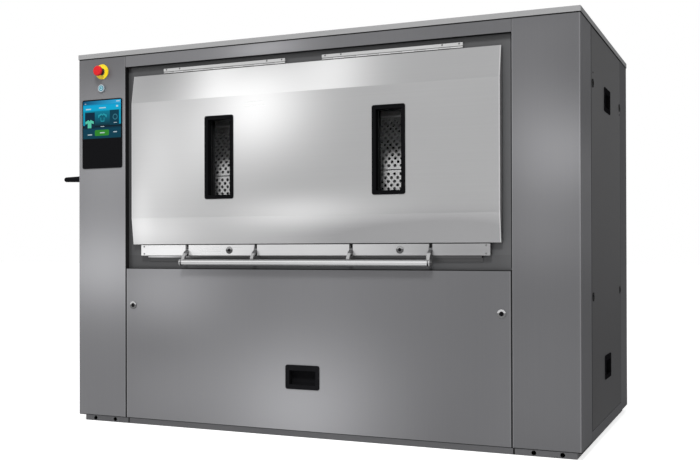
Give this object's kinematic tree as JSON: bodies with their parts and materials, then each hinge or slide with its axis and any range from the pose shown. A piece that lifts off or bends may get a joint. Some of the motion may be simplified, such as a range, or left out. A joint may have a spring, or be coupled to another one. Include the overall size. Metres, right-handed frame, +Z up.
{
  "type": "barrier washer",
  "caption": "Wide stainless pass-through washer with a top-hinged, windowed door on each long side, handle bars, corner columns, screen, stop button and a side isolator lever.",
  "frame": {"origin": "on the floor, under the middle of the cabinet", "axes": "+Z up, the loading side faces -Y, +X to the right seen from the loading side; the drum axis lies along X"},
  "size_m": [2.113, 1.176, 1.472],
  "materials": {
    "frame_steel": "semi-matt dark paint",
    "post_steel": "semi-matt grey paint",
    "kick_dark": "dark satin paint",
    "panel_steel": "fine satin brushed stainless sheet",
    "surround_steel": "dark grey satin",
    "lid_steel": "bright brushed edge",
    "door_steel": "bright brushed stainless sheet",
    "fitting_steel": "polished and brushed",
    "black_plastic": "fine grained black",
    "gloss_black": "gloss black",
    "screen": "gloss black cover glass",
    "pane": "clear",
    "rubber_black": "matt black rubber",
    "stop_red": "semi-gloss red",
    "stop_yellow": "semi-gloss yellow",
    "cap_teal": "lit translucent cap",
    "drum_steel": "perforated stainless",
    "tub_steel": "mill finish stainless",
    "machined_steel": "turned",
    "cast": "rough cast",
    "motor_paint": "blue-grey gloss",
    "valve_plastic": "moulded",
    "zinc": "zinc grey",
    "spring_steel": "dark lacquer",
    "lock_chrome": "polished"
  },
  "bodies": {
    "cabinet": {"base_frame": "frame_steel", "upright_frame": "post_steel", "kick_plates": "kick_dark", "front_left_column": "panel_steel", "front_right_column": "panel_steel", "rear_columns": "panel_steel", "lintels": "panel_steel", "front_lower_panel": "panel_steel", "rear_lower_panel": "panel_steel", "front_surround": "surround_steel", "rear_surround": "surround_steel", "top_cover": "lid_steel", "side_hatches": "panel_steel", "recessed_pulls": "black_plastic", "hinge_strips": "fitting_steel", "door_keepers": "fitting_steel", "screen_glass": "screen", "screen_housing": "black_plastic", "pushbutton_bases": "stop_yellow", "isolator_base": "black_plastic", "electrical_box": "zinc", "water_fittings": "valve_plastic", "water_hoses": "rubber_black", "mouth_bellows": "rubber_black", "suspension_springs": "spring_steel", "damper_tubes": "frame_steel", "lock_bodies": "lock_chrome"},
    "estop": {"estop_button": "stop_red"},
    "power": {"power_button": "cap_teal"},
    "isolator": {"isolator_lever": "gloss_black"},
    "panel_lock_l": {"panel_lock_left": "black_plastic"},
    "panel_lock_r": {"panel_lock_right": "black_plastic"},
    "tub": {"outer_tub": "tub_steel", "tub_ends": "tub_steel", "tub_cradle": "frame_steel", "bearing_housings": "cast", "damper_rods": "machined_steel", "motor": "motor_paint", "drive_belt": "rubber_black", "drain_valve": "cast"},
    "motor_rotor": {"motor_pulley": "machined_steel"},
    "drum": {"drum_shell": "drum_steel", "drum_ends": "drum_steel", "drum_pulley": "cast"},
    "leaf_upper": {"drum_leaf_upper": "drum_steel"},
    "leaf_lower": {"drum_leaf_lower": "drum_steel"},
    "front_door": {"front_door_cover": "door_steel", "front_door_liner": "tub_steel", "front_window_frames": "black_plastic", "front_window_panes": "pane", "front_door_seal": "rubber_black", "front_latch_rail": "fitting_steel"},
    "front_handle": {"front_door_handle": "fitting_steel"},
    "rail_lock_l": {"rail_lock_left": "black_plastic"},
    "rail_lock_r": {"rail_lock_right": "black_plastic"},
    "rear_door": {"rear_door_cover": "door_steel", "rear_door_liner": "tub_steel", "rear_door_trim": "rubber_black", "rear_window_panes": "pane"},
    "rear_handle": {"rear_door_handle": "fitting_steel"}
  },
  "joints": [
    {"name": "tub_float", "type": "slide", "parent": "cabinet", "child": "tub", "axis": [0, 0, 1], "range_m": [-0.008, 0.008], "stiffness_N_per_m": 400000, "springref_m": 0.01195, "deforming": ["suspension_springs", "mouth_bellows", "water_hoses"]},
    {"name": "drum_spin", "type": "hinge", "parent": "tub", "child": "drum", "pos_m": [0, 0, 0.92975], "axis": [1, 0, 0], "continuous": true},
    {"name": "motor_spin", "type": "hinge", "parent": "tub", "child": "motor_rotor", "pos_m": [0, 0, 0.35575], "axis": [1, 0, 0], "continuous": true},
    {"name": "leaf_upper_hinge", "type": "hinge", "parent": "drum", "child": "leaf_upper", "pos_m": [0, -0.33357, 1.16469], "axis": [1, 0, 0], "range_deg": [0, 70]},
    {"name": "leaf_lower_hinge", "type": "hinge", "parent": "drum", "child": "leaf_lower", "pos_m": [0, -0.37513, 0.7693], "axis": [-1, 0, 0], "range_deg": [0, 70]},
    {"name": "front_door_hinge", "type": "hinge", "parent": "cabinet", "child": "front_door", "pos_m": [0, -0.527, 1.3725], "axis": [-1, 0, 0], "range_deg": [0, 75]},
    {"name": "front_handle_pivot", "type": "hinge", "parent": "front_door", "child": "front_handle", "pos_m": [0, -0.537, 0.6835], "axis": [-1, 0, 0], "range_deg": [0, 30]},
    {"name": "rail_lock_left_turn", "type": "hinge", "parent": "front_door", "child": "rail_lock_l", "pos_m": [-0.304, -0.544, 0.6835], "axis": [0, 1, 0], "range_deg": [0, 90]},
    {"name": "rail_lock_right_turn", "type": "hinge", "parent": "front_door", "child": "rail_lock_r", "pos_m": [0.378, -0.544, 0.6835], "axis": [0, 1, 0], "range_deg": [0, 90]},
    {"name": "rear_door_hinge", "type": "hinge", "parent": "cabinet", "child": "rear_door", "pos_m": [0, 0.527, 1.3725], "axis": [1, 0, 0], "range_deg": [0, 75]},
    {"name": "rear_handle_pivot", "type": "hinge", "parent": "rear_door", "child": "rear_handle", "pos_m": [0, 0.537, 0.6835], "axis": [1, 0, 0], "range_deg": [0, 30]},
    {"name": "panel_lock_left_turn", "type": "hinge", "parent": "cabinet", "child": "panel_lock_l", "pos_m": [-0.738, -0.544, 0.469], "axis": [0, 1, 0], "range_deg": [-90, 0]},
    {"name": "panel_lock_right_turn", "type": "hinge", "parent": "cabinet", "child": "panel_lock_r", "pos_m": [0.738, -0.544, 0.469], "axis": [0, 1, 0], "range_deg": [0, 90]},
    {"name": "estop_press", "type": "slide", "parent": "cabinet", "child": "estop", "axis": [0, 1, 0], "range_m": [0, 0.006]},
    {"name": "power_press", "type": "slide", "parent": "cabinet", "child": "power", "axis": [0, 1, 0], "range_m": [0, 0.003], "stiffness_N_per_m": 800},
    {"name": "isolator_turn", "type": "hinge", "parent": "cabinet", "child": "isolator", "pos_m": [-0.98, -0.499, 0.975], "axis": [0, -1, 0], "range_deg": [0, 45]}
  ],
  "couplings": [
    {"joint": "motor_spin", "follows": "drum_spin", "ratio": 5}
  ]
}
